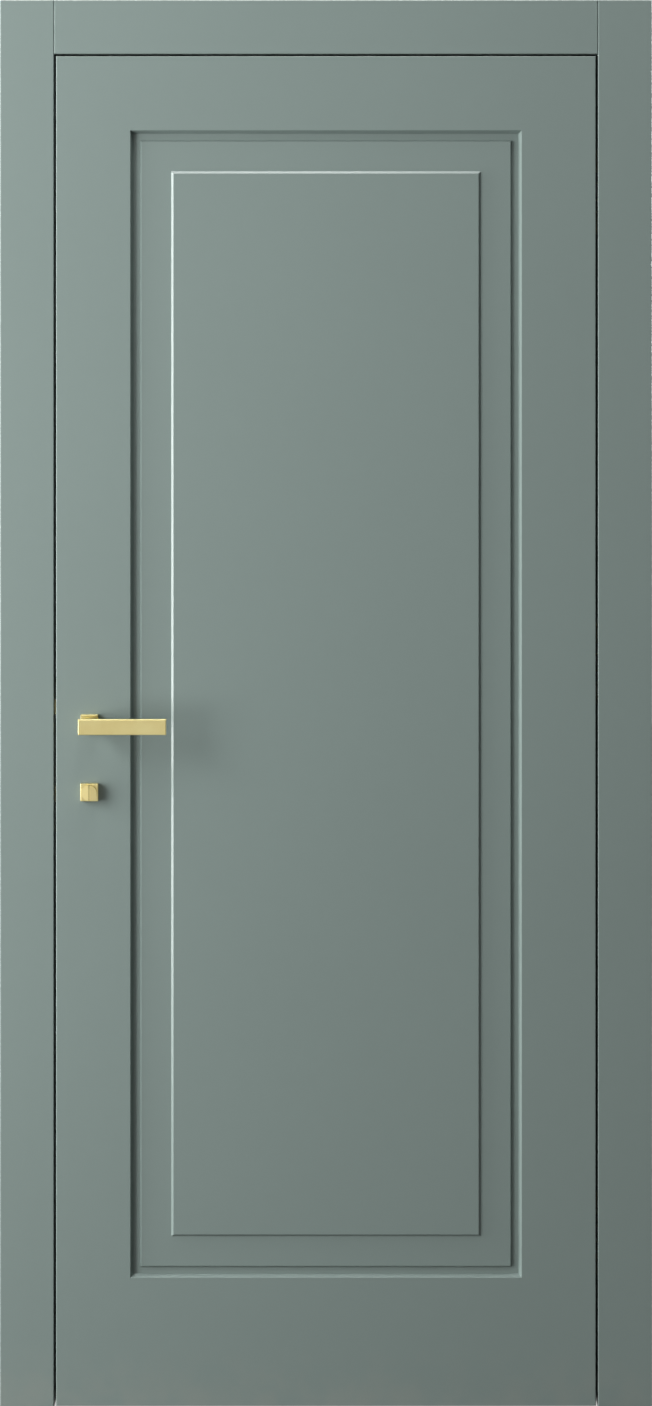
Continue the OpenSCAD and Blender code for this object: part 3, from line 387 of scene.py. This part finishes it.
def solids_in(name):
    """The corner points of each separate solid in a CAD node."""
    mesh = nodes[name].data
    keys = [tuple(round(c / WELD) for c in v.co) for v in mesh.vertices]
    leader = {key: key for key in keys}

    def find(key):
        while leader[key] != key:
            leader[key] = leader[leader[key]]
            key = leader[key]
        return key

    for face in mesh.polygons:
        first = find(keys[face.vertices[0]])
        for corner in face.vertices[1:]:
            leader[find(keys[corner])] = first
    groups = {}
    for key in leader:
        groups.setdefault(find(key), []).append(Vector(key) * WELD)
    return list(groups.values())


def span(points, axis):
    values = [p[axis] for p in points]
    return min(values), max(values)


def seat_of(points):
    """The middle of a screw's head, the direction it faces, and its head, shank and length."""
    boxes = [span(points, axis) for axis in range(3)]
    axis = max(range(3), key=lambda k: boxes[k][1] - boxes[k][0])
    side = (axis + 1) % 3
    ends = []
    for place in boxes[axis]:
        near = [p for p in points if abs(p[axis] - place) < END_DEPTH]
        low, high = span(near, side)
        ends.append((high - low, place))
    (shank, tip), (head, top) = sorted(ends)
    middle = Vector([sum(box) / 2 for box in boxes])
    middle[axis] = top
    facing = Vector((0, 0, 0))
    facing[axis] = 1.0 if top > tip else -1.0
    return middle, facing, head, shank, abs(top - tip)


# %% [markdown]
# ## Screws from one tree
# A countersunk screw is a short cone with a cross pressed into it, a core, a point and a thread that
# winds round the core. One Geometry Nodes tree makes it from five sizes and sets a copy on every
# seat. The thread's crest ends at the shank of the CAD screw, so it stays inside its hole.

# %% A geometry tree with named inputs
class Shape(Graph):
    """A Geometry Nodes tree with named inputs, ending in realized, finished geometry."""

    KINDS = {float: "NodeSocketFloat", tuple: "NodeSocketVector"}

    def __init__(self, name, **sizes):
        super().__init__(bpy.data.node_groups.new(name, "GeometryNodeTree"))
        face = self.tree.interface
        face.new_socket("Geometry", in_out="INPUT", socket_type="NodeSocketGeometry")
        for label, value in sizes.items():
            socket = face.new_socket(label, in_out="INPUT", socket_type=self.KINDS[type(value)])
            socket.default_value = value
        face.new_socket("finish", in_out="INPUT", socket_type="NodeSocketMaterial")
        face.new_socket("Geometry", in_out="OUTPUT", socket_type="NodeSocketGeometry")
        self.start = self.tree.nodes.new("NodeGroupInput")

    def input(self, label):
        return Wire(self, self.start.outputs[label])

    def moved(self, geometry, z):
        shift = self.node("ShaderNodeCombineXYZ", {}, {"Z": z})
        return self.node("GeometryNodeTransform", {}, {"Geometry": geometry, "Translation": shift})

    def end(self, geometry):
        real = self.node("GeometryNodeRealizeInstances", {}, {0: geometry})
        inputs = {"Geometry": real, "Material": self.input("finish")}
        done = self.node("GeometryNodeSetMaterial", {}, inputs)
        self.tree.links.new(done.socket, self.tree.nodes.new("NodeGroupOutput").inputs[0])

    def run(self, name, base, body, material, slot, **sizes):
        """Runs the tree on a base mesh and returns a plain mesh piece that rides on a body."""
        worker = bpy.data.objects.new(name + "_seats", base)
        bpy.context.collection.objects.link(worker)
        modifier = worker.modifiers.new("tree", "NODES")
        modifier.node_group = self.tree
        sizes["finish"] = material
        for item in self.tree.interface.items_tree:
            if item.in_out == "INPUT" and item.name in sizes:
                modifier[item.identifier] = sizes[item.name]
        seen = worker.evaluated_get(bpy.context.evaluated_depsgraph_get())
        mesh = bpy.data.meshes.new_from_object(seen)
        worker.modifiers.remove(modifier)
        bpy.data.objects.remove(worker)
        mesh.name = name
        piece = bpy.data.objects.new(name, mesh)
        bpy.context.collection.objects.link(piece)
        dress(piece, material)
        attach(piece, body)
        print(f"{name}: {len(mesh.polygons)} faces on {body}")
        return piece


# %% The screw tree
ROUND = 28
THREAD_STEPS = 18
THREAD_CORNERS = 4
CORE_SHARE = 0.68
POINT_LENGTH, POINT_TIP = 1.6, 0.06
CROSS_WIDTH, CROSS_DEPTH = 0.5, 1.8


def screw_tree():
    s = Shape("countersunk_screws",
              head=0.0075, shank=0.004, length=0.026, pitch=0.0018, cross=0.0008)
    head, shank, length = s.input("head"), s.input("shank"), s.input("length")
    core = shank * CORE_SHARE
    sink = (head - shank) / 2
    point = core * POINT_LENGTH
    stem = length - sink - point
    cone = {"Vertices": ROUND, "Radius Top": head / 2, "Radius Bottom": shank / 2, "Depth": sink}
    blank = s.moved(s.node("GeometryNodeMeshCone", {}, cone), sink * -1)
    slots = []
    cross, arm = s.input("cross"), head * CROSS_WIDTH
    for wide, deep in ((arm, cross), (cross, arm)):
        size = s.node("ShaderNodeCombineXYZ", {}, {"X": wide, "Y": deep, "Z": sink * CROSS_DEPTH})
        slots.append(s.node("GeometryNodeMeshCube", {}, {"Size": size}))
    top = s.node("GeometryNodeMeshBoolean", {"operation": "DIFFERENCE", "solver": "EXACT"},
                 {"Mesh 1": blank, "Mesh 2": slots})
    rod = {"Vertices": ROUND, "Radius": core / 2, "Depth": stem}
    rod = s.moved(s.node("GeometryNodeMeshCylinder", {}, rod), sink * -1 - stem / 2)
    tip = {"Vertices": ROUND, "Radius Top": core / 2, "Radius Bottom": core * POINT_TIP,
           "Depth": point}
    tip = s.moved(s.node("GeometryNodeMeshCone", {}, tip), length * -1)
    winding = {"Resolution": THREAD_STEPS, "Rotations": stem / s.input("pitch"),
               "Start Radius": core / 2, "End Radius": core / 2, "Height": stem}
    path = s.node("GeometryNodeCurveSpiral", {}, winding)
    path = s.node("GeometryNodeSetCurveNormal", {"mode": "Z_UP"}, {0: path})
    crest = {"Resolution": THREAD_CORNERS, "Radius": (shank - core) / 2}
    crest = s.node("GeometryNodeCurvePrimitiveCircle", {}, crest)
    thread = {"Curve": path, "Profile Curve": crest, "Fill Caps": True}
    thread = s.moved(s.node("GeometryNodeCurveToMesh", {}, thread), point - length)
    whole = s.node("GeometryNodeJoinGeometry", {}, {0: [top, rod, tip, thread]})
    facing = s.node("GeometryNodeInputNamedAttribute",
                    {"data_type": "FLOAT_VECTOR"}, {"Name": "facing"})
    turn = s.node("FunctionNodeAlignRotationToVector", {"axis": "Z"}, {"Vector": facing})
    seats = {"Points": s.input("Geometry"), "Instance": whole, "Rotation": turn}
    s.end(s.node("GeometryNodeInstanceOnPoints", {}, seats))
    return s


screws = screw_tree()
print("screw tree with", len(screws.tree.nodes), "nodes")


# %% Set the screws
SCREW_NODES = {
    "strike_screws": ("frame", brass_upright, "brass"),
    "corner_screws": ("frame", steel, "steel"),
    "frame_hinge_screws": ("frame", brass_upright, "brass"),
    "leaf_hinge_screws": ("leaf", brass_upright, "brass"),
    "forend_screws": ("leaf", brass_upright, "brass"),
    "lock_cover_screws": ("leaf", steel, "steel"),
    "rose_screws": ("leaf", steel, "steel"),
}
PITCH_SHARE = 0.45
CROSS_SHARE = 0.14


def seat_mesh(name, seats):
    mesh = bpy.data.meshes.new(name)
    mesh.from_pydata([seat[0] for seat in seats], [], [])
    facing = mesh.attributes.new("facing", "FLOAT_VECTOR", "POINT")
    for row, seat in zip(facing.data, seats):
        row.vector = seat[1]
    return mesh


for name, (body, material, slot) in SCREW_NODES.items():
    seats = [seat_of(points) for points in solids_in(name)]
    head, shank, length = (sum(seat[k] for seat in seats) / len(seats) for k in (2, 3, 4))
    base = seat_mesh(name, seats)
    piece = screws.run("threaded_" + name, base, body, material, slot, head=head, shank=shank,
                       length=length, pitch=shank * PITCH_SHARE, cross=head * CROSS_SHARE)
    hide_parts(name)
    print(f"  {len(seats)} screws, head {head * 1000:.1f}, shank {shank * 1000:.1f},"
          f" length {length * 1000:.1f} mm")


# %% [markdown]
# ## Springs from one tree
# The latch and the lever are each pushed back by a coil of round wire. A spiral gives the path and a
# small circle the wire. The coil takes its place from the CAD node's box.

# %% The spring tree
WIRE_ROUND = 10
COIL_STEPS = 40
WIRE = 0.0009


def spring_tree():
    s = Shape("coil_spring", radius=0.0048, length=0.02, turns=6.0, start=(0.0, 0.0, 0.0))
    lift = s.input("length") - WIRE
    winding = {"Resolution": COIL_STEPS, "Rotations": s.input("turns"), "Height": lift,
               "Start Radius": s.input("radius"), "End Radius": s.input("radius")}
    path = s.node("GeometryNodeCurveSpiral", {}, winding)
    ring = {"Resolution": WIRE_ROUND, "Radius": WIRE / 2}
    ring = s.node("GeometryNodeCurvePrimitiveCircle", {}, ring)
    coil = {"Curve": path, "Profile Curve": ring, "Fill Caps": True}
    coil = s.moved(s.node("GeometryNodeCurveToMesh", {}, coil), WIRE / 2)
    smooth = s.node("GeometryNodeSetShadeSmooth", {}, {"Geometry": coil})
    lying = {"Geometry": smooth, "Translation": s.input("start"),
             "Rotation": (0.0, math.pi / 2, 0.0)}
    s.end(s.node("GeometryNodeTransform", {}, lying))
    return s


springs = spring_tree()


# %% Set the springs
# joint, turns, the end of the box that stands still, and the share of the length that is kept
SPRINGS = {
    "latch_spring": ("latch_slide", 6.0, 1, 0.45),
    "follower_spring": ("lever_turn", 11.0, 0, 0.8),
}

for name, (joint, turns, still, keep) in SPRINGS.items():
    low, high = (Vector(corner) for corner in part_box(name))
    middle = (low + high) / 2
    start = (low.x, middle.y, middle.z)
    radius = (high.z - low.z - WIRE) / 2
    piece = springs.run("wound_" + name, bpy.data.meshes.new(name), "leaf", steel, "steel",
                        radius=radius, length=high.x - low.x, turns=turns, start=start)
    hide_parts(name)
    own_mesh(piece)
    print(f"  {turns:.0f} turns over {(high.x - low.x) * 1000:.1f} mm")


# %% [markdown]
# ## Floor, light and camera
# The picture shows the door square on, filling the frame, with upright lines that stay parallel, so
# the camera looks level from eye height and its lens is shifted down. Two soft panels stand one above
# the other on the left, and a third hangs high in front. They light the paint without showing in the
# brass. Two narrow strips on the left and above lie close to the plane of the leaf, so chamfers that
# look left or up shine and the others stay dark. One more panel lights the back. The world gives a
# little light from all round, and metal sees a room that is pale on the left and dim on the right.

# %% Stage
def stage_finish(name, colour, lit, shown_share):
    """Pale to the eye and to metal. The rest of what shows is lit, so it keeps the door's shadow."""
    f = Finish(name, Specular_IOR_Level=0.1)
    clouds = f.noise(1.3, 3.0)
    tone = f.mix(clouds, shade(lit, 0.96), shade(lit, 1.04))
    f.feed(tone, 0.8 + 0.1 * clouds, f.bump(f.noise(300.0, 2.0), 0.0001, 0.2))
    rays = f.node("ShaderNodeLightPath").socket.node.outputs
    shown = Wire(f, rays["Is Camera Ray"])
    for label in ("Is Glossy Ray", "Is Transmission Ray"):
        shown = shown.maths("MAXIMUM", shown, Wire(f, rays[label]))
    glow = f.node("ShaderNodeEmission", {}, {"Color": colour, "Strength": 1.0})
    surface = Wire(f, f.shader.outputs[0])
    both = f.node("ShaderNodeMixShader", {}, {0: shown * shown_share, 1: surface, 2: glow})
    f.tree.links.new(both.socket, f.tree.nodes["Material Output"].inputs["Surface"])
    return f.material


FLOOR_HALF = 9.0
FLOOR_Z = -0.0006
FLOOR_SHOWN, FLOOR_LIT = srgb(226, 226, 224), srgb(84, 84, 83)
FLOOR_GLOW = 0.72

floor_mesh = bpy.data.meshes.new("floor")
signs = [(-1, -1), (1, -1), (1, 1), (-1, 1)]
corners = [(x * FLOOR_HALF, y * FLOOR_HALF, FLOOR_Z) for x, y in signs]
floor_mesh.from_pydata(corners, [], [(0, 1, 2, 3)])
floor = bpy.data.objects.new("floor", floor_mesh)
bpy.context.collection.objects.link(floor)
dress(floor, stage_finish("pale_floor", FLOOR_SHOWN, FLOOR_LIT, FLOOR_GLOW))


# %% Light
# where the lamp stands, where it looks, its width and height, its power, and whether metal shows it
LAMPS = {
    "key_panel": ((-3.0, -1.95, 2.6), (0.0, -0.03, 1.2), (1.4, 1.6), 96.0, False),
    "low_panel": ((-2.7, -1.75, 0.9), (0.0, -0.03, 0.7), (1.4, 1.7), 68.0, False),
    "top_panel": ((-0.8, -2.4, 5.0), (0.0, -0.03, 1.2), (2.4, 1.2), 26.0, False),
    "left_strip": ((-2.7, -0.33, 1.4), (0.0, -0.03, 1.2), (0.35, 2.6), 70.0, True),
    "top_strip": ((-0.2, -0.27, 4.0), (0.0, -0.03, 1.3), (1.8, 0.35), 48.0, True),
    "back_panel": ((2.6, 3.2, 2.6), (0.0, 0.09, 1.1), (2.6, 2.6), 340.0, True),
}


def soft_lamp(name, place, aim, size, watts, mirrored):
    lamp = bpy.data.lights.new(name, "AREA")
    lamp.shape = "RECTANGLE"
    lamp.size, lamp.size_y = size
    lamp.energy = watts
    holder = bpy.data.objects.new(name, lamp)
    holder.location = place
    look = Vector(aim) - Vector(place)
    holder.rotation_euler = look.to_track_quat("-Z", "Y").to_euler()
    holder.visible_glossy = mirrored
    bpy.context.collection.objects.link(holder)
    print(f"{name}: {watts} W, {look.length:.2f} m away")


for name, values in LAMPS.items():
    soft_lamp(name, *values)

# %% World
ROOM_AMBIENT = 0.03
ROOM_DIM, ROOM_PALE = 0.3, 1.85
DIM_X, PALE_X = 0.5, -0.5
ROOM_COLOUR = srgb(236, 237, 236)

world = bpy.data.worlds.new("soft_room")
bpy.context.scene.world = world
world.use_nodes = True
room = Graph(world.node_tree)
room.tree.nodes.clear()
rays = room.node("ShaderNodeLightPath").socket.node.outputs
camera_ray = Wire(room, rays["Is Camera Ray"])
mirrored = Wire(room, rays["Is Glossy Ray"])
mirrored = mirrored.maths("MAXIMUM", mirrored, Wire(room, rays["Is Transmission Ray"]))
direction = room.node("ShaderNodeTexCoord", output="Generated")
across = room.node("ShaderNodeSeparateXYZ", {}, {0: direction})
room_light = ROOM_DIM + (ROOM_PALE - ROOM_DIM) * across.ease(DIM_X, PALE_X)
strength = mirrored * room_light + (1 - mirrored) * ROOM_AMBIENT
strength = camera_ray + (1 - camera_ray) * strength
sky = room.node("ShaderNodeBackground", {}, {"Color": ROOM_COLOUR, "Strength": strength})
room.tree.links.new(sky.socket, room.tree.nodes.new("ShaderNodeOutputWorld").inputs["Surface"])
print("world with", len(room.tree.nodes), "nodes")

# %% Camera
IMAGE_W, IMAGE_H = 652, 1406
FACE_Y = -0.029
EYE_HEIGHT = 1.545
EYE_DISTANCE = 4.73
SENSOR = 36.0
VIEW_LOW, VIEW_HIGH = 0.003, 2.086

view_height = VIEW_HIGH - VIEW_LOW
camera_data = bpy.data.cameras.new("camera")
camera_data.sensor_width = SENSOR
camera_data.lens = SENSOR * EYE_DISTANCE / view_height
camera_data.shift_y = ((VIEW_LOW + VIEW_HIGH) / 2 - EYE_HEIGHT) / view_height
camera = bpy.data.objects.new("camera", camera_data)
camera.location = (0.0, FACE_Y - EYE_DISTANCE, EYE_HEIGHT)
camera.rotation_euler = (math.pi / 2, 0.0, 0.0)
bpy.context.collection.objects.link(camera)
bpy.context.scene.camera = camera
bpy.context.scene.view_settings.view_transform = "Standard"
print(f"lens {camera_data.lens:.1f} mm, shift {camera_data.shift_y:.3f},"
      f" {view_height * IMAGE_W / IMAGE_H:.3f} m wide at the leaf")
